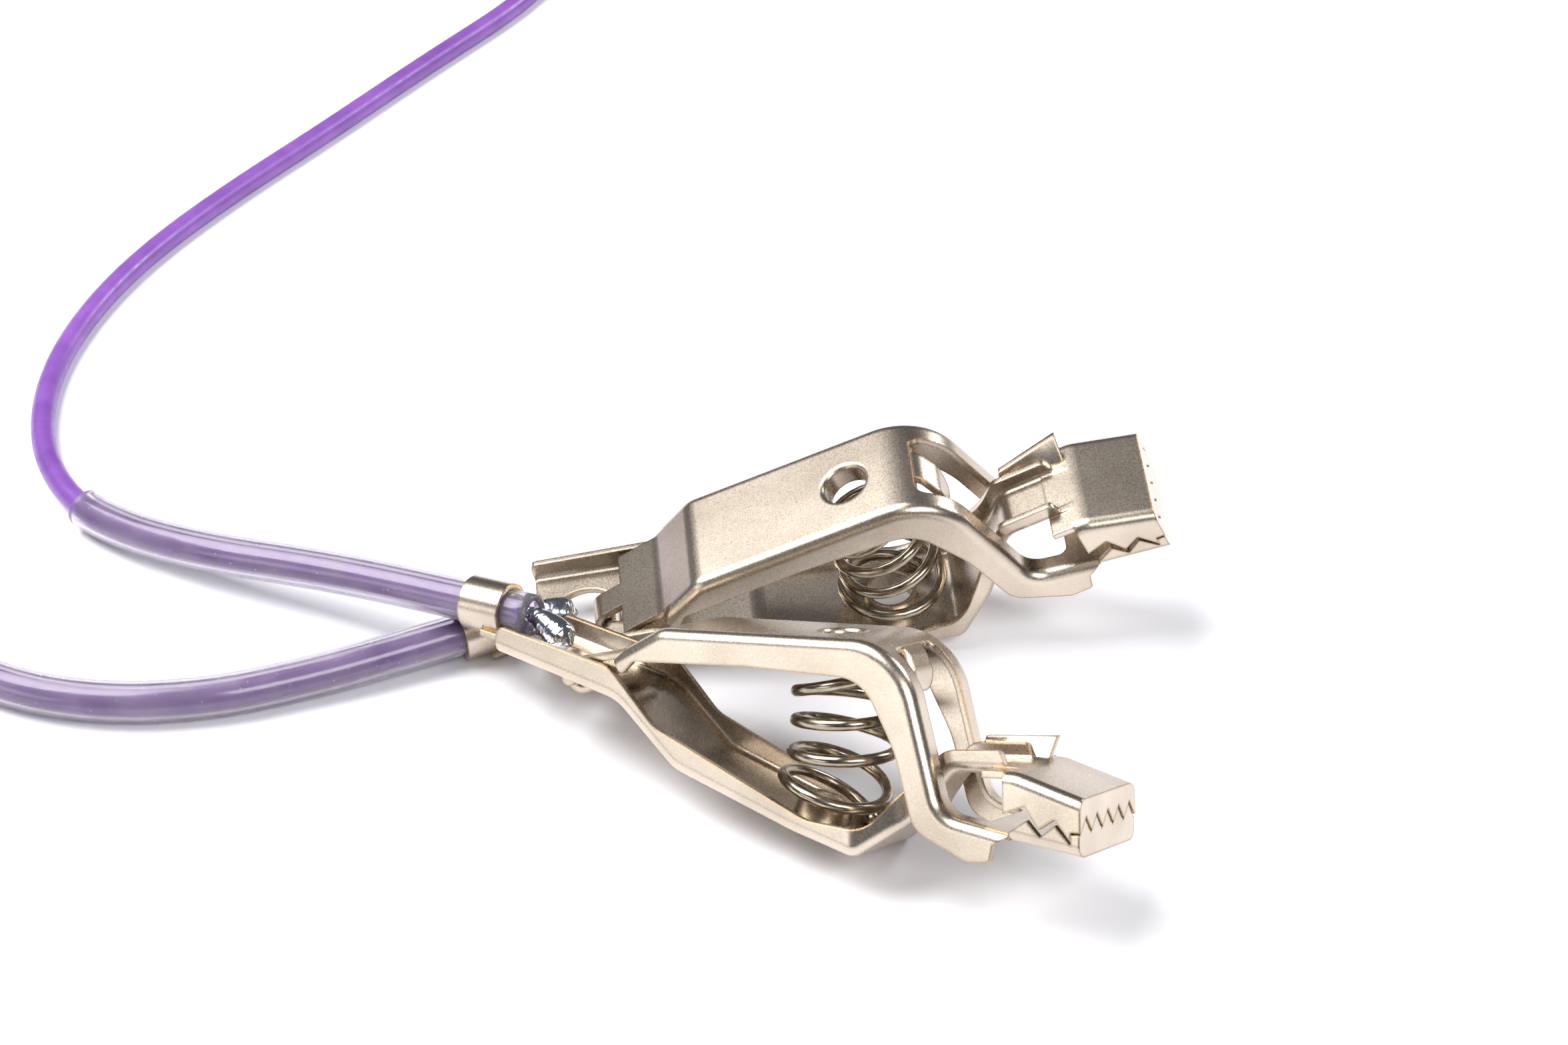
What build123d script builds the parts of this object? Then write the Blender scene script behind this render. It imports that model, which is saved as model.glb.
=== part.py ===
from build123d import *
import math
import os

# Two spring clips of one pattern on one lead.  Each clip is drawn once in its own frame:
# x runs from the tail to the jaws, y across the sheet, z from the inner to the outer lever.
# The part frame is +Z up, with the origin under the middle of the two clips, on the table.

# cutting shapes that only have to reach past the part, and the tolerance for finding edges
past = 40
touching = 0.02

# sheet metal of both levers
sheet = 0.55
bend_outside = 0.95
bend_inside = 0.4
half_width = 5.25
jaw_half_width = 5.14

# hinge at the tail: a rolled bar across the inner lever, held in a hook on the outer lever
hinge_x = -23.5
hinge_z = -4.4
bar_radius = 0.7
bar_half_length = 3.2
hook_inside = 0.95
hook_half_width = 1.25
hook_start_angle = 99.0
hook_end_angle = 330.0
hook_overlap_angle = 30.0

# outer lever: corners of its outside surface, and the free edge of its flanges
outer_corners = [(-16.9, -1.45), (-13.9, 0.1), (7.5, -0.2), (10.7, -13.3), (16.6, -14.45)]
outer_bends = [2.5, 6.0, 2.2]
outer_edge = [(-18.0, -2.6), (-17.4, -3.8), (-16.2, -2.6), (-6.0, -2.6), (4.2, -3.2), (6.9, -8.6),
              (8.4, -14.6), (12.9, -16.8), (14.8, -16.7), (15.1, -15.3)]
outer_edge_bends = [0.4, 0.5, 12.0, 3.5, 9.0, 2.5, 1.4, 0.4]
lip_half_width = 4.35
lip_start_x = -14.6
lip_bend_x = -18.0
lip_bend = 2.5
lip_end_x = -21.8
window_half_width = 3.15
window_back = 5.75
window_front = 13.9
window_corner = 0.8
tongue_corners = [(4.6, -0.45), (6.3, -1.35), (7.3, -2.9), (7.6, -4.6)]
tongue_bends = [2.0, 1.5]
tongue_outline = [(2.2, -0.6), (1.1, -2.3), (0.4, -3.8), (-0.9, -4.4), (-2.3, -3.9), (-1.5, -1.8),
                  (-1.3, -0.6)]
tongue_x = 4.0
tongue_length = 6.0
tongue_root_size = (2.0, 3.5, 3.0)
tongue_root_middle = (4.0, 0.45, 0.3)
hole_radius = 1.85
hole_lip = 0.35
hole_rim_z = -0.3
collar_wall = 0.4
collar_height = 1.2
collar_top_z = -0.25

# lower jaw, at the front of the outer lever
lower_corners = [(14.3, -14.02), (16.6, -14.45), (22.3, -15.4)]
lower_bends = [4.0]
lower_jaw_rim_z = -12.0
lower_side_teeth = [(16.3, -14.3), (17.85, -13.3), (18.94, -14.5), (20.17, -13.55), (21.5, -15.0)]
jaw_front = 22.3
side_teeth_end = 21.5
front_teeth = 5
tooth_pitch = 2.0
front_tooth_top = -13.0
front_tooth_root = -14.2
tooth_gap = 0.2
jaw_web_half_width = 4.75
above_jaws_z = -5.0
below_jaws_z = -25.0

# inner lever: corners of its underside, and the free edge of its flanges
inner_corners = [(-29.2, -2.35), (-18.2, -5.85), (-13.0, -11.1), (-2.5, -15.4), (2.9, -17.2),
                 (7.0, -14.6), (10.4, -10.45), (16.4, -10.3)]
inner_bends = [4.0, 4.0, 15.0, 1.3, 4.0, 1.6]
inner_edge = [(-29.2, -1.4), (-28.9, -0.2), (-18.4, -3.2), (-14.4, -7.8), (-1.0, -14.4), (3.9, -15.0),
              (9.9, -8.7), (14.7, -8.5), (15.05, -9.65), (16.4, -9.75)]
inner_edge_bends = [0.5, 3.0, 3.0, 4.0, 2.5, 1.6, 0.5, 0.1]
neck_start = 2.9
neck_shoulder = (6.2, 4.1)
neck_end = 8.3
neck_half_width = 2.75
neck_blend = 2.5
ear_foot = [(10.2, 2.3), (16.2, 2.3), (16.2, 2.85), (10.2, 2.85)]
ear_top = [(10.9, 2.75), (16.2, 4.4), (16.2, 4.95), (10.9, 3.3)]
ear_foot_z = -10.2
ear_top_z = -8.2

# upper jaw, at the front of the inner lever
upper_corners = [(14.0, -9.75), (16.8, -9.75), (22.3, -11.5)]
upper_bends = [3.0]
upper_jaw_rim_z = -16.0
upper_jaw_back = 15.9
upper_side_teeth = [(15.9, -12.9), (17.74, -12.23), (18.85, -13.95), (20.2, -13.1), (21.5, -14.75)]

# tail of the inner lever: hole, slot, and the crimp band round the sleeve
tail_hole_x = -25.3
tail_hole_radius = 2.6
slot_end = -20.8
slot_half_width = 1.6
crimp_length = 3.8
crimp_wall = 0.45
crimp_clearance = 0.02
strap_half_width = 1.9
strap_start_x = -28.5
seat = (-2.3, 0.0, -15.0)
seat_slope = 22.0
seat_sunk = 0.3

# spring
spring_outside = 9.17
spring_wire = 0.95
spring_turns = 4.6
spring_bottom = (-2.1, -14.1)
spring_top = (0.15, -1.25)

# lead: wire, sleeves, bare strands and solder
wire_diameter = 2.15
sleeve_outside = 3.55
sleeve_inside = 2.65
sleeve_inboard = 4.2
wire_inboard = 3.1
sleeve_corners = {"front": 4, "back": 5}
sleeve_last_run = {"front": 0.8, "back": 0.5}
strands_radius = 0.6
solder_size = (4.4, 3.0, 1.9)
solder_round = 0.85
solder_slope = 25.0
solder_centre = (-27.7, 0.0, -1.35)

# each clip: position of its frame, turns about x, y and z, the middle of its crimp band in its
# own frame, and the route's corner that the band points at
clips = {
    "front": {"at": (2.69, -2.83, 15.70), "turns": (-33.53, -1.14, -28.80),
              "crimp": (-32.9, 0.0, 0.8), "lead_corner": 0},
    "back": {"at": (2.85, 15.52, 16.06), "turns": (10.18, -24.91, 5.73),
             "crimp": (-33.2, -1.3, 1.0), "lead_corner": -1},
}

# corners of the wire's route between the two crimp bands, on the table beside the clips
route = [
    (-34.1, 14.8, 5.9),
    (-42.5, 18.7, 4.7),
    (-50.9, 22.1, 3.5),
    (-58.7, 26.4, 2.3),
    (-64.6, 31.3, 1.8),
    (-68.9, 40.2, 1.2),
    (-69.9, 50.6, 1.08),
    (-68.0, 60.9, 1.08),
    (-63.9, 71.0, 1.08),
    (-57.2, 81.8, 1.08),
    (-48.7, 93.4, 1.08),
    (-39.6, 106.6, 1.08),
    (-29.3, 120.6, 1.08),
    (-25.1, 132.2, 1.08),
    (-30.7, 142.4, 1.08),
    (-44.0, 147.9, 1.08),
    (-60.5, 147.4, 1.08),
    (-76.0, 141.6, 1.08),
    (-87.7, 131.0, 1.08),
    (-94.1, 116.6, 1.08),
    (-96.5, 100.6, 1.08),
    (-96.1, 84.4, 1.08),
    (-94.5, 68.5, 1.08),
    (-91.1, 52.4, 1.08),
    (-87.7, 36.8, 1.08),
    (-82.5, 22.4, 1.08),
    (-75.1, 12.4, 1.8),
    (-66.7, 6.5, 1.8),
    (-57.9, 4.3, 1.8),
    (-49.1, 5.0, 1.8),
    (-41.7, 7.5, 1.8),
    (-35.1, 9.9, 2.2),
]


def offset_corners(corners, distance):
    """Corners of the path that runs a distance to the right of the given one."""
    lines = []
    for (ax, az), (bx, bz) in zip(corners, corners[1:]):
        length = math.hypot(bx - ax, bz - az)
        right_x = (bz - az) / length
        right_z = -(bx - ax) / length
        lines.append(((ax + right_x * distance, az + right_z * distance), (bx - ax, bz - az)))
    moved = [lines[0][0]]
    for (p, d), (q, e) in zip(lines, lines[1:]):
        along = ((q[0] - p[0]) * e[1] - (q[1] - p[1]) * e[0]) / (d[0] * e[1] - d[1] * e[0])
        moved.append((p[0] + d[0] * along, p[1] + d[1] * along))
    last, step = lines[-1]
    moved.append((last[0] + step[0], last[1] + step[1]))
    return moved


def offset_bends(corners, bends, distance):
    """Bend radii of the offset path: smaller on the inside of a bend, larger on the outside."""
    radii = []
    for a, b, c, radius in zip(corners, corners[1:], corners[2:], bends):
        turn = (b[0] - a[0]) * (c[1] - b[1]) - (b[1] - a[1]) * (c[0] - b[0])
        radii.append(radius + math.copysign(1.0, turn) * distance)
    return radii


def side_path(corners, bends):
    return FilletPolyline(*[(x, 0, z) for x, z in corners], radius=bends)


def slab(first, second, half):
    """Solid between two side paths that run the same way, reaching half to each side of y = 0."""
    ends = [Line(first @ 0, second @ 0).edge(), Line(first @ 1, second @ 1).edge()]
    outline = Wire(list(first.edges()) + list(second.edges()) + ends)
    return extrude(Face(outline), half, dir=(0, 1, 0), both=True)


def side_block(points, half):
    """Solid on a straight-sided side outline, reaching half to each side of y = 0."""
    outline = Polyline(*[(x, 0, z) for x, z in points], close=True)
    return extrude(Face(Wire(outline.edges())), half, dir=(0, 1, 0), both=True)


def round_long_edges(body, path, radius):
    """Round the two edges that run along a side path."""
    wire = Wire(path.edges())
    chosen = []
    for edge in body.edges():
        middle = edge @ 0.5
        if abs(middle.Y) > 1 and wire.distance_to(Vector(middle.X, 0, middle.Z)) < 0.001:
            chosen.append(edge)
    return fillet(chosen, radius)


def bent_channel(corners, bends, edge, edge_bends, inward, plan=None):
    """Bent sheet with a flange down each side.  inward is 1 for flanges on the right, -1 on the left."""
    outside = side_path(corners, bends)
    body = slab(outside, side_path(edge, edge_bends), half_width)
    first, second = corners[0], corners[1]
    longer = [(2 * first[0] - second[0], 2 * first[1] - second[1])] + corners[1:]
    inside = side_path(offset_corners(longer, inward * sheet), offset_bends(longer, bends, inward * sheet))
    far_z = -past * inward
    hollow = slab(inside, Line(((inside @ 0).X, 0, far_z), ((inside @ 1).X, 0, far_z)), half_width - sheet)
    if plan:
        body = body & plan_prism(plan, 0)
        hollow = hollow & plan_prism(plan, sheet)
    body = round_long_edges(body, outside, bend_outside)
    return body - round_long_edges(hollow, inside, bend_inside)


def plan_prism(plan, inset):
    """Upright prism on a plan given as (x, half width) points, narrowed by the inset."""
    far = [(x, half - inset, -past) for x, half in plan]
    near = [(x, -y, z) for x, y, z in reversed(far)]
    soft = [neck_blend] * (len(plan) - 2)
    sides = [FilletPolyline(*far, radius=soft), FilletPolyline(*near, radius=soft)]
    ends = [Line(far[-1], near[0]), Line(near[-1], far[0])]
    edges = [edge for path in sides + ends for edge in path.edges()]
    return extrude(Face(Wire(edges)), 2 * past, dir=(0, 0, 1))


def behind(x):
    """Block that holds everything behind x."""
    block = Box(2 * past, 2 * past, 2 * past, align=(Align.MAX, Align.CENTER, Align.CENTER))
    return block.moved(Location((x, 0, 0)))


def zigzag(low, high, far):
    """Block above the front teeth, from the tooth line up to far, across the whole jaw."""
    points = []
    for k in range(-front_teeth, front_teeth + 1):
        level = high if (k + front_teeth) % 2 else low
        points.append((k * tooth_pitch / 2, level))
    edge_y = 2 * jaw_half_width
    points = [(-edge_y, low)] + points + [(edge_y, low), (edge_y, far), (-edge_y, far)]
    outline = Polyline(*[(side_teeth_end, y, z) for y, z in points], close=True)
    return extrude(Face(Wire(outline.edges())), 2 * (jaw_front - side_teeth_end), dir=(1, 0, 0))


def jaw(corners, bends, depth_z, inward, back_x):
    """Tray with a wall on each side and at the front; depth_z is beyond its tallest tooth."""
    outside = side_path(corners, bends)
    rim = Line((corners[0][0], 0, depth_z), (corners[-1][0], 0, depth_z))
    tray = round_long_edges(slab(outside, rim, jaw_half_width), outside, bend_outside)
    inside = side_path(offset_corners(corners, inward * sheet), offset_bends(corners, bends, inward * sheet))
    beyond_z = depth_z - past * inward
    open_side = Line(((inside @ 0).X, 0, beyond_z), ((inside @ 1).X, 0, beyond_z))
    hollow = slab(inside, open_side, jaw_half_width - sheet)
    tray = tray - (round_long_edges(hollow, inside, bend_inside) & behind(jaw_front - sheet))
    web = slab(outside, inside, jaw_web_half_width)
    return (tray - behind(back_x)) + (web & behind(back_x))


def slope_of(corners):
    """Rise over run of a side path's first leg."""
    return (corners[1][1] - corners[0][1]) / (corners[1][0] - corners[0][0])


def ring(angle_from, angle_to, outer, inner, half):
    """Part of a ring about the hinge line; angles run from +x towards +z."""
    def point(radius, angle):
        turn = math.radians(angle)
        return (hinge_x + radius * math.cos(turn), 0, hinge_z + radius * math.sin(turn))
    middle = (angle_from + angle_to) / 2
    edges = [
        ThreePointArc(point(outer, angle_from), point(outer, middle), point(outer, angle_to)).edge(),
        Line(point(outer, angle_to), point(inner, angle_to)).edge(),
        ThreePointArc(point(inner, angle_to), point(inner, middle), point(inner, angle_from)).edge(),
        Line(point(inner, angle_from), point(outer, angle_from)).edge(),
    ]
    return extrude(Face(Wire(edges)), half, dir=(0, 1, 0), both=True)


def outer_lever():
    body = bent_channel(outer_corners, outer_bends, outer_edge, outer_edge_bends, 1)
    # window with the tongue that is left standing in it
    window = Box(window_front - window_back, 2 * window_half_width, 2 * past,
                 align=(Align.MIN, Align.CENTER, Align.CENTER)).moved(Location((window_back, 0, 0)))
    body = body - fillet(window.edges().filter_by(Axis.Z), window_corner)
    tongue_outside = side_path(tongue_corners, tongue_bends)
    tongue_inside = side_path(offset_corners(tongue_corners, sheet),
                              offset_bends(tongue_corners, tongue_bends, sheet))
    tongue = slab(tongue_outside, tongue_inside, window_half_width)
    outline = Spline(*[(tongue_x, y, z) for y, z in tongue_outline])
    closing = Line(outline @ 1, outline @ 0)
    shape = extrude(Face(Wire([outline.edge(), closing.edge()])), tongue_length, dir=(1, 0, 0))
    root = Box(*tongue_root_size, align=(Align.MIN, Align.CENTER, Align.CENTER))
    body = body + (tongue & (shape + root.moved(Location(tongue_root_middle))))
    # hole with a collar that holds the end of the spring
    collar = Cylinder(hole_radius + collar_wall, sheet + collar_height,
                      align=(Align.CENTER, Align.CENTER, Align.MAX))
    body = body + collar.moved(Location((0, 0, collar_top_z)))
    body = body - Cylinder(hole_radius, 2 * past)
    rim = []
    for edge in body.edges():
        middle = edge @ 0.5
        on_hole = abs(math.hypot(middle.X, middle.Y) - hole_radius) < touching
        if on_hole and middle.Z > hole_rim_z:
            rim.append(edge)
    body = fillet(rim, hole_lip)
    # lip and hook at the tail
    hook_outside = hook_inside + sheet
    turn = math.radians(hook_start_angle)
    touch = (hinge_x + hook_outside * math.cos(turn), hinge_z + hook_outside * math.sin(turn))
    rise = slope_of(outer_corners)
    start = (lip_start_x, outer_corners[1][1] + rise * (lip_start_x - outer_corners[1][0]))
    knee = (lip_bend_x, outer_corners[1][1] + rise * (lip_bend_x - outer_corners[1][0]))
    strip = [touch, knee, start]
    lip = slab(side_path(strip, [lip_bend]), side_path(offset_corners(strip, sheet), [lip_bend - sheet]),
               lip_half_width)
    hook_band = Box(2 * past, 2 * hook_half_width, 2 * past)
    body = body + (lip - behind(lip_end_x)) + (lip & hook_band)
    body = body + ring(hook_start_angle - hook_overlap_angle, hook_end_angle, hook_outside, hook_inside,
                       hook_half_width)
    # lower jaw
    under = offset_corners(lower_corners, sheet)
    back_x = lower_side_teeth[0][0]
    tray = jaw(under, offset_bends(lower_corners, lower_bends, sheet), lower_jaw_rim_z, -1, back_x)
    above_side = lower_side_teeth + [(side_teeth_end, above_jaws_z), (back_x, above_jaws_z)]
    tray = tray - side_block(above_side, past)
    tray = tray - zigzag(front_tooth_root, front_tooth_top, above_jaws_z)
    return body + tray


def inner_lever(clip):
    plan = [(-past, half_width), (neck_start, half_width), neck_shoulder, (neck_end, neck_half_width),
            (past, neck_half_width)]
    body = bent_channel(inner_corners, inner_bends, inner_edge, inner_edge_bends, -1, plan)
    # ear on the far side of the neck
    foot = Face(Wire(Polyline(*[(x, y, ear_foot_z) for x, y in ear_foot], close=True).edges()))
    top = Face(Wire(Polyline(*[(x, y, ear_top_z) for x, y in ear_top], close=True).edges()))
    body = body + loft([foot, top], ruled=True)
    # upper jaw
    tray = jaw(upper_corners, upper_bends, upper_jaw_rim_z, 1, upper_jaw_back)
    below_side = upper_side_teeth + [(side_teeth_end, below_jaws_z), (upper_jaw_back, below_jaws_z)]
    tray = tray - side_block(below_side, past)
    tray = tray - zigzag_below()
    body = body + tray
    # hole and slot at the tail, and the bar between them that the hook turns on
    hole = Cylinder(tail_hole_radius, 2 * past)
    slot_length = slot_end - tail_hole_x
    slot = Box(slot_length, 2 * slot_half_width, 2 * past, align=(Align.MIN, Align.CENTER, Align.CENTER))
    body = body - (hole + slot).moved(Location((tail_hole_x, 0, 0)))
    bar = Cylinder(bar_radius, 2 * bar_half_length, rotation=(90, 0, 0))
    body = body + bar.moved(Location((hinge_x, 0, hinge_z)))
    # seat with a collar for the foot of the spring
    seat_place = Location(seat, (0, seat_slope, 0))
    collar = Cylinder(hole_radius + collar_wall, collar_height + seat_sunk,
                      align=(Align.CENTER, Align.CENTER, Align.MIN))
    body = body + collar.moved(seat_place)
    body = body - Cylinder(hole_radius, 4 * collar_height).moved(seat_place)
    # crimp band round the sleeve, and the strap that joins it to the tail
    around = crimp_place(clip)
    inside = sleeve_outside / 2 + crimp_clearance
    bore = Cylinder(inside, 3 * crimp_length).moved(around)
    band = Cylinder(inside + crimp_wall, crimp_length).moved(around)
    return body + (band + strap(clip) - bore)


def strap(clip):
    """Tongue of sheet from the tail's web up to the underside of the crimp band."""
    web_z = inner_corners[0][1] + (strap_start_x - inner_corners[0][0]) * slope_of(inner_corners)
    x, y, z = clip["crimp"]
    band_z = z - sleeve_outside / 2 - crimp_clearance - crimp_wall
    ends = []
    for at_x, at_y, at_z in [(strap_start_x, 0, web_z), (x, y, band_z)]:
        near_y = at_y - strap_half_width
        far_y = at_y + strap_half_width
        top_z = at_z + sheet
        corners = [(at_x, near_y, at_z), (at_x, far_y, at_z), (at_x, far_y, top_z), (at_x, near_y, top_z)]
        ends.append(Face(Wire(Polyline(*corners, close=True).edges())))
    return loft(ends, ruled=True)


def zigzag_below():
    """Block below the upper front teeth, which mesh with the lower ones."""
    block = zigzag(front_tooth_root + tooth_gap, front_tooth_top + tooth_gap, above_jaws_z)
    whole = Box(2 * (jaw_front - side_teeth_end), 4 * jaw_half_width, above_jaws_z - below_jaws_z,
                align=(Align.MIN, Align.CENTER, Align.MAX))
    return whole.moved(Location((side_teeth_end, 0, above_jaws_z))) - block


def lead_direction(clip):
    """Unit vector of the lead where it leaves the crimp band, in the clip's frame."""
    corner = clip_location(clip).inverse() * Location(route[clip["lead_corner"]])
    return (corner.position - Vector(*clip["crimp"])).normalized()


def crimp_place(clip):
    """Frame in the middle of the crimp band, with z pointing out along the lead."""
    return Plane(origin=clip["crimp"], z_dir=lead_direction(clip)).location


def inboard(clip, distance):
    """Point on the sleeve's axis, a distance inboard of the crimp band's middle."""
    return Vector(*clip["crimp"]) - lead_direction(clip) * distance


def spring():
    bottom = Vector(spring_bottom[0], 0, spring_bottom[1])
    top = Vector(spring_top[0], 0, spring_top[1])
    axis = top - bottom
    height = axis.length - spring_wire
    radius = (spring_outside - spring_wire) / 2
    path = Helix(height / spring_turns, height, radius, center=(0, 0, spring_wire / 2))
    coil = sweep(Plane(origin=path @ 0, z_dir=path % 0) * Circle(spring_wire / 2), path=path)
    lean = math.degrees(math.atan2(axis.X, axis.Z))
    return coil.moved(Location(bottom, (0, lean, 0)))


def solder(clip, lever):
    length, width, height = solder_size
    blob = Box(length, width, height)
    blob = fillet(blob.edges(), solder_round).moved(Location(solder_centre, (0, solder_slope, 0)))
    room = Cylinder(sleeve_outside / 2 + crimp_clearance, 2 * sleeve_inboard).moved(crimp_place(clip))
    return blob - lever - room


def strands(clip, joint):
    start = inboard(clip, wire_inboard)
    end = Vector(*solder_centre)
    body = Cylinder(strands_radius, (end - start).length, align=(Align.CENTER, Align.CENTER, Align.MIN))
    body = body.moved(Plane(origin=start, z_dir=end - start).location)
    wire_end = Cylinder(wire_diameter / 2, 2 * wire_inboard).moved(crimp_place(clip))
    return body - joint - wire_end


def clip_location(clip):
    return Location(clip["at"], clip["turns"])


def in_part(clip, point):
    """A point of the clip's frame, in the part's frame."""
    return (clip_location(clip) * Location(point)).position


def tube(points, radii, outside, inside=0):
    path = FilletPolyline(*points, radius=radii)
    section = Plane(origin=path @ 0, z_dir=path % 0) * Circle(outside / 2)
    solid = sweep(section, path=path)
    if inside:
        solid = solid - sweep(Plane(origin=path @ 0, z_dir=path % 0) * Circle(inside / 2), path=path)
    full = math.pi * (outside ** 2 - inside ** 2) / 4 * path.length
    print("tube length", round(path.length, 1), "volume ratio", round(solid.volume / full, 4))
    return solid


def corner_radii(points):
    """Each arc is as large as its two runs allow."""
    radii = []
    for a, b, c in zip(points, points[1:], points[2:]):
        turn = math.radians((b - a).get_angle(c - b))
        shorter = min((b - a).length, (c - b).length)
        radii.append(0.45 * shorter / math.tan(turn / 2))
    return radii


def lead():
    """The wire, and a sleeve over each end of it."""
    front, back = clips["front"], clips["back"]
    points = [in_part(front, inboard(front, wire_inboard))]
    points = points + [Vector(*point) for point in route]
    points = points + [in_part(back, inboard(back, wire_inboard))]
    radii = corner_radii(points)
    print("wire corner radii", [round(radius, 1) for radius in radii])
    wire = tube(points, radii, wire_diameter)
    sleeves = {}
    for side, order in (("front", 1), ("back", -1)):
        along = points[::order]
        corners = along[1:sleeve_corners[side] + 1]
        last = corners[-1] + (along[sleeve_corners[side] + 1] - corners[-1]) * sleeve_last_run[side]
        first = in_part(clips[side], inboard(clips[side], sleeve_inboard))
        kept = radii[::order][:len(corners)]
        sleeves[side] = tube([first] + corners + [last], kept, sleeve_outside, sleeve_inside)
    return wire, sleeves


def main():
    os.makedirs("parts", exist_ok=True)
    outer = outer_lever()
    coil = spring()
    for side, clip in clips.items():
        inner = inner_lever(clip)
        joint = solder(clip, inner)
        pieces = {"outer_lever": outer, "inner_lever": inner, "spring": coil, "solder": joint,
                  "strands": strands(clip, joint)}
        for name, piece in pieces.items():
            export_step(piece.moved(clip_location(clip)), f"parts/{name}_{side}.step")
    wire, sleeves = lead()
    export_step(wire, "parts/wire.step")
    for side, sleeve in sleeves.items():
        export_step(sleeve, f"parts/sleeve_{side}.step")


if __name__ == "__main__":
    main()
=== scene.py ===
import math
import random
import bmesh
import bpy
from mathutils import Matrix, Vector


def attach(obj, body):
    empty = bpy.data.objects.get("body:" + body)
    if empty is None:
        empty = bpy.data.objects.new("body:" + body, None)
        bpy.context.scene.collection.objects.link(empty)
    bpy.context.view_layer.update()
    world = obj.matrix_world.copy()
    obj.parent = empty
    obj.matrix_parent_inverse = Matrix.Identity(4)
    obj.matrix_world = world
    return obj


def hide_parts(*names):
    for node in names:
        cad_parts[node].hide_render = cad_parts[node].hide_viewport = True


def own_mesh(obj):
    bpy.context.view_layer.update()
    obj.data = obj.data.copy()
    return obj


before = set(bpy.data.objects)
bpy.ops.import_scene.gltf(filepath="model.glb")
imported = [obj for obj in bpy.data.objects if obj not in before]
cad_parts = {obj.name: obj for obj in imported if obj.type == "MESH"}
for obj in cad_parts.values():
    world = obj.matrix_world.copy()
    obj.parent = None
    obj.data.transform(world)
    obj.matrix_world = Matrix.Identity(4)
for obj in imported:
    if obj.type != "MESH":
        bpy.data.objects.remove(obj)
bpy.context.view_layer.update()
mm = 0.001
root = "inner_levers_and_lead"


def hexColour(text):
    # sRGB hex to the linear numbers that the shaders take
    values = [int(text[k:k + 2], 16) / 255 for k in (1, 3, 5)]
    linear = [v / 12.92 if v <= 0.04045 else ((v + 0.055) / 1.055) ** 2.4 for v in values]
    return (*linear, 1)


def grey(value):
    return (value, value, value, 1)


def patternScale(size):
    # texture scale that gives features of a size in millimetres
    return 1 / (size * mm)


def setNode(tree, node, links=None, inputs=None, stops=(), **settings):
    for name, value in settings.items():
        setattr(node, name, value)
    for name, value in (inputs or {}).items():
        node.inputs[name].default_value = value
    for name, source in (links or {}).items():
        tree.links.new(source, node.inputs[name])
    for k, (position, colour) in enumerate(stops):
        node.color_ramp.elements[k].position = position
        node.color_ramp.elements[k].color = colour
    return node


def addNode(tree, kind, **given):
    return setNode(tree, tree.nodes.new(kind), **given)


def newMaterial(name):
    material = bpy.data.materials.new(name)
    material.use_nodes = True
    tree = material.node_tree
    place = addNode(tree, "ShaderNodeTexCoord").outputs["Object"]
    return material, tree, tree.nodes["Principled BSDF"], place


# camera, floor and light, in millimetres, degrees and watts
camera = {
    "at": (-2.0, -223.6, 198.9),
    "tilt": 51.98,
    "lens": 84.19,
    "sensor": 36.0,
    "nearest": 10,
}
studio = {
    "floor": "#F6F6FA",
    "floorSize": 6000,
    "floorTooth": 1.11,
    "sky": "#E3E6EE",
    "skyStrength": 0.15,
    "lamps": {
        "key": {"at": (-230, 60, 390), "size": (330, 330), "power": 3.2},
        "fill": {"at": (160, -260, 330), "size": (260, 160), "power": 1.1},
        "rim": {"at": (330, 260, 230), "size": (140, 120), "power": 0.9},
        "side": {"at": (-330, -230, 120), "size": (220, 120), "power": 0.22},
    },
}


def makeCamera():
    data = bpy.data.cameras.new("camera")
    data.lens = camera["lens"]
    data.sensor_width = camera["sensor"]
    data.clip_start = camera["nearest"] * mm
    view = bpy.data.objects.new("camera", data)
    view.location = Vector(camera["at"]) * mm
    view.rotation_euler = (math.radians(camera["tilt"]), 0, 0)
    bpy.context.scene.collection.objects.link(view)
    bpy.context.scene.camera = view


def floorMaterial():
    # matt paper, rolled: even white, with a tooth that is only just felt
    material, tree, shader, place = newMaterial("matt paper, rolled")
    tooth = addNode(tree, "ShaderNodeTexNoise", links={"Vector": place},
                    inputs={"Scale": patternScale(studio["floorTooth"]), "Detail": 3})
    bump = addNode(tree, "ShaderNodeBump", links={"Height": tooth.outputs["Fac"]},
                   inputs={"Strength": 0.03, "Distance": 0.2 * mm})
    setNode(tree, shader, links={"Normal": bump.outputs["Normal"]},
            inputs={"Base Color": hexColour(studio["floor"]), "Roughness": 0.7})
    return material


def makeStudio():
    bpy.ops.mesh.primitive_plane_add(size=studio["floorSize"] * mm, location=(0, 0, 0))
    floor = bpy.context.object
    floor.name = "floor"
    floor.data.materials.append(floorMaterial())
    world = bpy.data.worlds.new("studio")
    world.use_nodes = True
    setNode(world.node_tree, world.node_tree.nodes["Background"],
            inputs={"Color": hexColour(studio["sky"]), "Strength": studio["skyStrength"]})
    bpy.context.scene.world = world
    bpy.context.scene.view_settings.view_transform = "Standard"
    for name, given in studio["lamps"].items():
        data = bpy.data.lights.new(name, "AREA")
        data.shape = "RECTANGLE"
        data.size, data.size_y = [side * mm for side in given["size"]]
        data.energy = given["power"]
        lamp = bpy.data.objects.new(name, data)
        lamp.location = Vector(given["at"]) * mm
        lamp.rotation_euler = (-lamp.location).to_track_quat("-Z", "Y").to_euler()
        bpy.context.scene.collection.objects.link(lamp)


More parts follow.
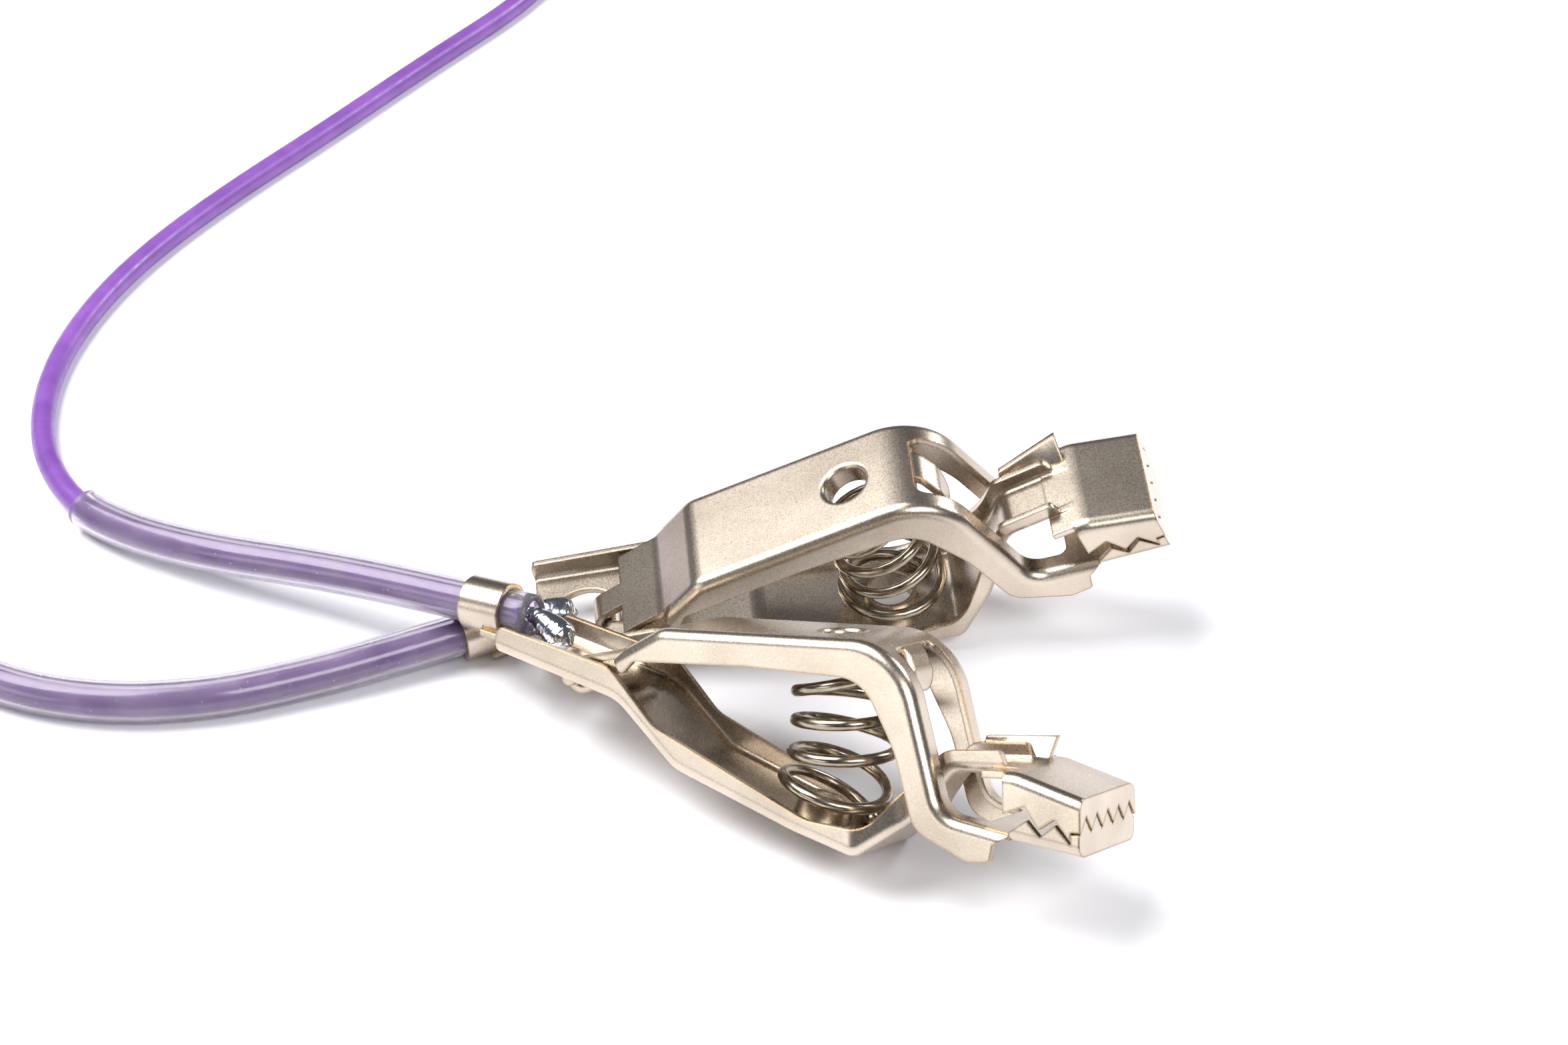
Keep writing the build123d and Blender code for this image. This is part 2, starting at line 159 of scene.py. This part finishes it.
# mesh pieces that follow a line
def framesAlong(path):
    # each point, the way the line runs there, and two directions across it that don't twist
    frames = []
    last = len(path) - 1
    side = (path[1] - path[0]).orthogonal().normalized()
    for k, point in enumerate(path):
        along = (path[min(k + 1, last)] - path[max(k - 1, 0)]).normalized()
        side = (side - along * side.dot(along)).normalized()
        frames.append((point, along, side, along.cross(side)))
    return frames


def ringMesh(name, rings, sides, joined=False):
    # skin over rings of (place on the line, radius); joined runs from the last ring to the first
    build = bmesh.new()
    rows = []
    for (point, along, across, up), radius in rings:
        row = []
        for n in range(sides):
            turn = 2 * math.pi * n / sides
            row.append(build.verts.new(point + (across * math.cos(turn) + up * math.sin(turn)) * radius))
        rows.append(row)
    for a, b in zip(rows, rows[1:] + rows[:1] if joined else rows[1:]):
        for n in range(sides):
            build.faces.new((a[n], a[(n + 1) % sides], b[(n + 1) % sides], b[n]))
    if not joined:
        build.faces.new(list(reversed(rows[0])))
        build.faces.new(rows[-1])
    bmesh.ops.recalc_face_normals(build, faces=build.faces)
    for face in build.faces:
        face.smooth = True
    mesh = bpy.data.meshes.new(name)
    build.to_mesh(mesh)
    build.free()
    piece = bpy.data.objects.new(name, mesh)
    bpy.context.scene.collection.objects.link(piece)
    return piece


def roundBar(name, path, radius, sides):
    return ringMesh(name, [(place, radius * mm) for place in framesAlong(path)], sides)


def smoothLine(points, count):
    # Catmull-Rom line through the points
    ends = [points[0] * 2 - points[1]] + points + [points[-1] * 2 - points[-2]]
    line = []
    for k in range(count):
        at = k / (count - 1) * (len(points) - 1)
        n = min(int(at), len(points) - 2)
        t = at - n
        a, b, c, d = ends[n:n + 4]
        line.append(0.5 * (2 * b + (c - a) * t + (2 * a - 5 * b + 4 * c - d) * t * t
                           + (3 * b - a - 3 * c + d) * t ** 3))
    return line


def cutPath(path, length):
    kept = [path[0]]
    run = 0.0
    for a, b in zip(path, path[1:]):
        step = (b - a).length
        if run + step >= length:
            kept.append(a + (b - a) * ((length - run) / step))
            return kept
        run += step
        kept.append(b)
    return kept


# the lead: one wire between the two clips, with a soft sleeve over each end
wire = {
    "diameter": 2.15,
    "length": 412.8,
    "colour": "#8857AC",
    "deep": "#714596",
    "mottle": 3.85,
    "scuff": 0.714,
    "start": (-23.448, 9.048, 7.553),
    "end": (-24.578, 14.519, 2.607),
}
route = [
    (-34.1, 14.8, 5.9), (-42.5, 18.7, 4.7), (-50.9, 22.1, 3.5), (-58.7, 26.4, 2.3),
    (-64.6, 31.3, 1.8), (-68.9, 40.2, 1.2), (-69.9, 50.6, 1.08), (-68.0, 60.9, 1.08),
    (-63.9, 71.0, 1.08), (-57.2, 81.8, 1.08), (-48.7, 93.4, 1.08), (-39.6, 106.6, 1.08),
    (-29.3, 120.6, 1.08), (-25.1, 132.2, 1.08), (-30.7, 142.4, 1.08), (-44.0, 147.9, 1.08),
    (-60.5, 147.4, 1.08), (-76.0, 141.6, 1.08), (-87.7, 131.0, 1.08), (-94.1, 116.6, 1.08),
    (-96.5, 100.6, 1.08), (-96.1, 84.4, 1.08), (-94.5, 68.5, 1.08), (-91.1, 52.4, 1.08),
    (-87.7, 36.8, 1.08), (-82.5, 22.4, 1.08), (-75.1, 12.4, 1.8), (-66.7, 6.5, 1.8),
    (-57.9, 4.3, 1.8), (-49.1, 5.0, 1.8), (-41.7, 7.5, 1.8), (-35.1, 9.9, 2.2),
]
sleeves = {
    "outside": 3.55,
    "inside": 2.65,
    "lip": 0.12,
    "past": 1.1,  # how far the sleeve reaches beyond the end of the jacket
    "length": {"front": 46.8, "back": 50.3},
    "sides": 48,
    "colour": "#DFD8E3",
    "cloud": 2.38,
    "speck": 0.769,
}


def wireMaterial():
    # soft PVC, extruded: satin, lets a little light in, with faint mottle and scuffs
    material, tree, shader, place = newMaterial("soft PVC, extruded")
    mottle = addNode(tree, "ShaderNodeTexNoise", links={"Vector": place},
                     inputs={"Scale": patternScale(wire["mottle"]), "Detail": 4})
    colour = addNode(tree, "ShaderNodeValToRGB", links={"Fac": mottle.outputs["Fac"]},
                     stops=[(0.3, hexColour(wire["deep"])), (0.7, hexColour(wire["colour"]))])
    scuff = addNode(tree, "ShaderNodeTexNoise", links={"Vector": place},
                    inputs={"Scale": patternScale(wire["scuff"]), "Detail": 6})
    rough = addNode(tree, "ShaderNodeValToRGB", links={"Fac": scuff.outputs["Fac"]},
                    stops=[(0.3, grey(0.3)), (0.75, grey(0.48))])
    bump = addNode(tree, "ShaderNodeBump", links={"Height": scuff.outputs["Fac"]},
                   inputs={"Strength": 0.12, "Distance": 0.03 * mm})
    setNode(tree, shader, links={"Base Color": colour.outputs["Color"], "Roughness": rough.outputs["Color"],
                                 "Normal": bump.outputs["Normal"]},
            inputs={"Subsurface Weight": 0.35, "Subsurface Radius": (0.7, 0.35, 0.9),
                    "Subsurface Scale": 0.7 * mm, "IOR": 1.53})
    return material


def makeWire():
    points = [wire["start"]] + route + [wire["end"]]
    data = bpy.data.curves.new("wire_jacket", "CURVE")
    data.dimensions = "3D"
    spline = data.splines.new("NURBS")
    spline.points.add(len(points) - 1)
    for target, point in zip(spline.points, points):
        target.co = (*(Vector(point) * mm), 1)
    spline.order_u = 3
    spline.use_endpoint_u = True
    spline.resolution_u = 16
    # the line is read before the curve gets its thickness
    line = bpy.data.meshes.new_from_object(bpy.data.objects.new("wire_line", data.copy()))
    path = [v.co.copy() for v in line.vertices]
    data.bevel_depth = wire["diameter"] / 2 * mm
    data.bevel_resolution = 8
    data.use_fill_caps = True
    piece = bpy.data.objects.new("wire_jacket", data)
    bpy.context.scene.collection.objects.link(piece)
    data.materials.append(wireMaterial())
    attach(piece, root)
    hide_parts("wire")
    return piece, path


def sleeveMaterial():
    # soft vinyl, extruded: milky and see-through, with dust specks and a faint ripple
    material, tree, shader, place = newMaterial("soft vinyl, extruded")
    cloud = addNode(tree, "ShaderNodeTexNoise", links={"Vector": place},
                    inputs={"Scale": patternScale(sleeves["cloud"]), "Detail": 5})
    specks = addNode(tree, "ShaderNodeTexVoronoi", links={"Vector": place},
                     inputs={"Scale": patternScale(sleeves["speck"])})
    milk = addNode(tree, "ShaderNodeValToRGB", links={"Fac": cloud.outputs["Fac"]},
                   stops=[(0.3, grey(0.87)), (0.7, grey(0.94))])
    dust = addNode(tree, "ShaderNodeValToRGB", links={"Fac": specks.outputs["Distance"]},
                   stops=[(0.02, grey(0.5)), (0.08, grey(0.13))])
    bump = addNode(tree, "ShaderNodeBump", links={"Height": cloud.outputs["Fac"]},
                   inputs={"Strength": 0.15, "Distance": 0.04 * mm})
    setNode(tree, shader, links={"Transmission Weight": milk.outputs["Color"],
                                 "Roughness": dust.outputs["Color"], "Normal": bump.outputs["Normal"]},
            inputs={"Base Color": hexColour(sleeves["colour"]), "IOR": 1.38})
    return material


def makeSleeve(side, path, material):
    before = path[0] + (path[0] - path[1]).normalized() * sleeves["past"] * mm
    places = framesAlong(cutPath([before] + path, sleeves["length"][side] * mm))
    outer = sleeves["outside"] / 2 * mm
    inner = sleeves["inside"] / 2 * mm
    lip = sleeves["lip"] * mm
    first, last = places[0], places[-1]
    middle = places[1:-1]
    # along the outside, round the far lip, back along the bore and round the near lip
    rings = [((first[0] + first[1] * lip, *first[1:]), outer)]
    rings += [(place, outer) for place in middle]
    rings += [((last[0] - last[1] * lip, *last[1:]), outer), (last, outer - lip), (last, inner)]
    rings += [(place, inner) for place in reversed(middle)]
    rings += [(first, inner), (first, outer - lip)]
    piece = ringMesh("soft_sleeve_" + side, rings, sleeves["sides"], joined=True)
    piece.data.materials.append(material)
    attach(piece, root)
    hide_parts("sleeve_" + side)
    return piece


def makeLead():
    piece, path = makeWire()
    material = sleeveMaterial()
    tubes = [makeSleeve("front", path, material), makeSleeve("back", list(reversed(path)), material)]


# the clips: each one's place and turns, the end of the wire's jacket in its own frame, and the way
# the wire leaves
clips = {
    "front": {"at": (2.69, -2.83, 15.70), "turns": (-33.53, -1.14, -28.80),
              "wire": (-29.84, 0.03, 0.29), "out": (-0.986, -0.009, 0.165)},
    "back": {"at": (2.85, 15.52, 16.06), "turns": (10.18, -24.91, 5.73),
             "wire": (-30.56, -0.31, -0.30), "out": (-0.851, -0.318, 0.418)},
}


def inClip(clip, point):
    place = Matrix.Translation(Vector(clip["at"]) * mm)
    for angle, axis in zip(clip["turns"], "XYZ"):
        place = place @ Matrix.Rotation(math.radians(angle), 4, axis)
    return place @ (Vector(point) * mm)


# levers: stamped sheet, plated
plate = {
    "nickel": "#CCBFAF",
    "shade": "#B9AC9C",
    "edge": "#A08058",
    "edgeWidth": 0.28,
    "grain": 0.15,
    "patch": 6.25,
    "scratch": (2.0, 0.167, 0.167),
    "scratchTurn": (0.2, 0.3, -0.45),
    "roughLow": 0.23,
    "roughHigh": 0.33,
}


def plateMaterial():
    # nickel plate, stamped: satin with a fine grain and scratches, and yellow-brown sheared edges; the same
    # brown is painted into the creases as shade
    material, tree, shader, place = newMaterial("nickel plate, stamped")
    grain = addNode(tree, "ShaderNodeTexNoise", links={"Vector": place},
                    inputs={"Scale": patternScale(plate["grain"]), "Detail": 4, "Roughness": 0.65})
    rough = addNode(tree, "ShaderNodeValToRGB", links={"Fac": grain.outputs["Fac"]},
                    stops=[(0.3, grey(plate["roughLow"])), (0.7, grey(plate["roughHigh"]))])
    patch = addNode(tree, "ShaderNodeTexNoise", links={"Vector": place},
                    inputs={"Scale": patternScale(plate["patch"]), "Detail": 4})
    tone = addNode(tree, "ShaderNodeValToRGB", links={"Fac": patch.outputs["Fac"]},
                   stops=[(0.3, hexColour(plate["shade"])), (0.62, hexColour(plate["nickel"]))])
    # where the rounded normal leaves the true one, the surface is at an edge or a crease; the brown put
    # there is sheared-edge colour on edges and painted shade in creases
    soft = addNode(tree, "ShaderNodeBevel", inputs={"Radius": plate["edgeWidth"] * mm}, samples=4)
    geometry = addNode(tree, "ShaderNodeNewGeometry")
    facing = addNode(tree, "ShaderNodeVectorMath", operation="DOT_PRODUCT",
                     links={0: soft.outputs["Normal"], 1: geometry.outputs["Normal"]})
    edgeAndCreaseShade = addNode(tree, "ShaderNodeValToRGB", links={"Fac": facing.outputs["Value"]},
                   stops=[(0.86, grey(1)), (0.985, grey(0))])
    # inputs 6 and 7 are the mix's two colours, and output 2 is its colour
    # mixes in the brown: sheared-edge colour on edges, painted shade in the creases
    edged = addNode(tree, "ShaderNodeMix", data_type="RGBA", inputs={7: hexColour(plate["edge"])},
                    links={0: edgeAndCreaseShade.outputs["Color"], 6: tone.outputs["Color"]})
    stretch = addNode(tree, "ShaderNodeMapping", links={"Vector": place},
                      inputs={"Rotation": plate["scratchTurn"],
                              "Scale": [patternScale(size) for size in plate["scratch"]]})
    scratch = addNode(tree, "ShaderNodeTexNoise", links={"Vector": stretch.outputs["Vector"]},
                      inputs={"Scale": 1.0, "Detail": 5, "Roughness": 0.6})
    peel = addNode(tree, "ShaderNodeBump",
                   links={"Height": grain.outputs["Fac"], "Normal": soft.outputs["Normal"]},
                   inputs={"Strength": 0.16, "Distance": 0.02 * mm})
    fine = addNode(tree, "ShaderNodeBump",
                   links={"Height": scratch.outputs["Fac"], "Normal": peel.outputs["Normal"]},
                   inputs={"Strength": 0.1, "Distance": 0.01 * mm})
    setNode(tree, shader, links={"Base Color": edged.outputs[2], "Roughness": rough.outputs["Color"],
                                 "Normal": fine.outputs["Normal"]}, inputs={"Metallic": 1})
    return material


def plateLevers(side, material):
    for name in ("outer_lever_", "inner_lever_"):
        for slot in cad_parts[name + side].material_slots:
            slot.material = material


# springs: the axis is a line of (x, z) in the clip's frame, from the foot to the top
coil = {
    "outside": 9.17,
    "wire": 0.95,
    "turns": 4.5,
    "closed": 0.4,  # turns that lie close at each end
    "endRise": 0.55,  # how far a closed end climbs, in wire thicknesses
    "start": 0.6,
    "stepsPerTurn": 28,
    "axis": [(-2.1, -14.35), (-0.5, -11.2), (0.1, -8.1), (0.35, -5.1), (0.15, -1.35)],
    "spineSteps": 200,
    "colour": "#B8AB97",
    "shade": "#8F8474",
    "mark": 1.11,
    "keep": 0.76,
}


def coilMaterial():
    # nickel-plated spring steel, drawn: polished, with shallow marks and darker bands
    material, tree, shader, place = newMaterial("nickel-plated spring steel, drawn")
    marks = addNode(tree, "ShaderNodeTexNoise", links={"Vector": place},
                    inputs={"Scale": patternScale(coil["mark"]), "Detail": 6})
    colour = addNode(tree, "ShaderNodeValToRGB", links={"Fac": marks.outputs["Fac"]},
                     stops=[(0.3, hexColour(coil["shade"])), (0.7, hexColour(coil["colour"]))])
    rough = addNode(tree, "ShaderNodeValToRGB", links={"Fac": marks.outputs["Fac"]},
                    stops=[(0.3, grey(0.16)), (0.7, grey(0.3))])
    bump = addNode(tree, "ShaderNodeBump", links={"Height": marks.outputs["Fac"]},
                   inputs={"Strength": 0.15, "Distance": 0.02 * mm})
    setNode(tree, shader, links={"Base Color": colour.outputs["Color"], "Roughness": rough.outputs["Color"],
                                 "Normal": bump.outputs["Normal"]}, inputs={"Metallic": 1})
    return material


def makeCoil(side, clip, material):
    steps = coil["spineSteps"]
    spine = smoothLine([Vector((x, 0, z)) for x, z in coil["axis"]], steps + 1)
    radius = (coil["outside"] - coil["wire"]) / 2
    closed = coil["closed"] / coil["turns"]
    thickness = coil["wire"] / (spine[-1] - spine[0]).length
    low = thickness / 2
    high = low + thickness * coil["endRise"]
    across = Vector((0, 1, 0))
    count = int(coil["turns"] * coil["stepsPerTurn"])
    path = []
    for k in range(count + 1):
        share = k / count
        if share < closed:
            height = low + (high - low) * share / closed
        elif share > 1 - closed:
            height = 1 - low - (high - low) * (1 - share) / closed
        else:
            height = high + (1 - 2 * high) * (share - closed) / (1 - 2 * closed)
        at = min(int(height * steps), steps - 1)
        middle = spine[at].lerp(spine[at + 1], height * steps - at)
        out = across.cross((spine[at + 1] - spine[at]).normalized())
        turn = 2 * math.pi * coil["turns"] * share + coil["start"]
        path.append(inClip(clip, middle + (out * math.cos(turn) + across * math.sin(turn)) * radius))
    piece = roundBar("spring_coil_" + side, path, coil["wire"] / 2, 20)
    piece.data.materials.append(material)
    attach(piece, root)
    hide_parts("spring_" + side)
    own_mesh(piece)


# solder and bare strands: lines from the end of the wire's jacket towards the tail's hole
joint = {
    "path": [(0.6, 0.05), (1.6, -0.35), (2.7, -1.05), (3.8, -1.9), (4.7, -2.5)],
    "radius": [0.55, 0.85, 1.2, 1.35, 0.75],
    "centred": 5.0,  # length over which the joint comes back to the clip's middle
    "rounding": 6,
    "tip": 0.05,
    "lumps": 0.04,
    "colour": "#D3D8E2",
    "stained": "#A9AFBC",
    "stain": 1.92,
}
strand = {
    "count": 8,
    "spread": 0.42,
    "radius": 0.13,
    "outside": 0.4,
    "inside": 0.5,
    "path": [(1.2, -0.15, 0.9), (2.2, -0.8, 0.7)],  # along, up, and share of the spread
}


def solderMaterial():
    # tin solder, set from the melt: bright blue-grey and glassy, with a few flux stains
    material, tree, shader, place = newMaterial("tin solder, set from the melt")
    stain = addNode(tree, "ShaderNodeTexNoise", links={"Vector": place},
                    inputs={"Scale": patternScale(joint["stain"]), "Detail": 5})
    colour = addNode(tree, "ShaderNodeValToRGB", links={"Fac": stain.outputs["Fac"]},
                     stops=[(0.32, hexColour(joint["stained"])), (0.6, hexColour(joint["colour"]))])
    rough = addNode(tree, "ShaderNodeValToRGB", links={"Fac": stain.outputs["Fac"]},
                    stops=[(0.3, grey(0.3)), (0.6, grey(0.12))])
    bump = addNode(tree, "ShaderNodeBump", links={"Height": stain.outputs["Fac"]},
                   inputs={"Strength": 0.3, "Distance": 0.08 * mm})
    setNode(tree, shader, links={"Base Color": colour.outputs["Color"], "Roughness": rough.outputs["Color"],
                                 "Normal": bump.outputs["Normal"]}, inputs={"Metallic": 1})
    return material


def makeSolder(side, clip, material):
    start = Vector(clip["wire"])
    line = [start + Vector((x, -start.y * x / joint["centred"], z)) for x, z in joint["path"]]
    radii = joint["radius"]
    places = framesAlong([inClip(clip, point) for point in smoothLine(line, 40)])
    rings = []
    for k, place in enumerate(places):
        share = k / (len(places) - 1)
        at = share * (len(radii) - 1)
        n = min(int(at), len(radii) - 2)
        swell = radii[n] + (radii[n + 1] - radii[n]) * (at - n)
        blunt = min(1, joint["rounding"] * (1 - share)) ** 0.5
        rings.append((place, max(joint["tip"], swell * blunt) * mm))
    piece = ringMesh("solder_joint_" + side, rings, 32)
    random.seed(7)
    for vertex in piece.data.vertices:
        vertex.co += vertex.normal * joint["lumps"] * mm * random.uniform(-1, 1)
    soften = piece.modifiers.new("soften", "SUBSURF")
    soften.levels = 1
    soften.render_levels = 2
    piece.data.materials.append(material)
    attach(piece, root)
    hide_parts("solder_" + side)


def makeStrands(side, clip, material):
    start = Vector(clip["wire"])
    out = Vector(clip["out"])
    count = strand["count"]
    made = []
    for k in range(count + 1):
        # a ring of strands and one in the middle
        turn = 2 * math.pi * k / count
        spread = 0.0 if k == count else strand["spread"]
        shift = Vector((0, math.cos(turn) * spread, math.sin(turn) * spread))
        line = [start + out * strand["outside"] + shift, start - out * strand["inside"] + shift * 1.1]
        line += [start + Vector((x, 0, z)) + shift * share for x, z, share in strand["path"]]
        path = [inClip(clip, point) for point in smoothLine(line, 14)]
        made.append(roundBar(f"strand_{side}_{k}", path, strand["radius"], 10))
    piece = made[0]
    with bpy.context.temp_override(active_object=piece, selected_editable_objects=made):
        bpy.ops.object.join()
    piece.name = "bare_strands_" + side
    piece.data.materials.append(material)
    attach(piece, root)
    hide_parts("strands_" + side)


def makeClips():
    nickel = plateMaterial()
    steel = coilMaterial()
    tin = solderMaterial()
    for side, clip in clips.items():
        plateLevers(side, nickel)
        makeCoil(side, clip, steel)
        makeSolder(side, clip, tin)
        makeStrands(side, clip, tin)
        print("clip", side)


print("frame loaded:", len(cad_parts), "nodes")
makeCamera()
print("camera")
makeLead()
print("lead")
makeStudio()
print("studio")
makeClips()
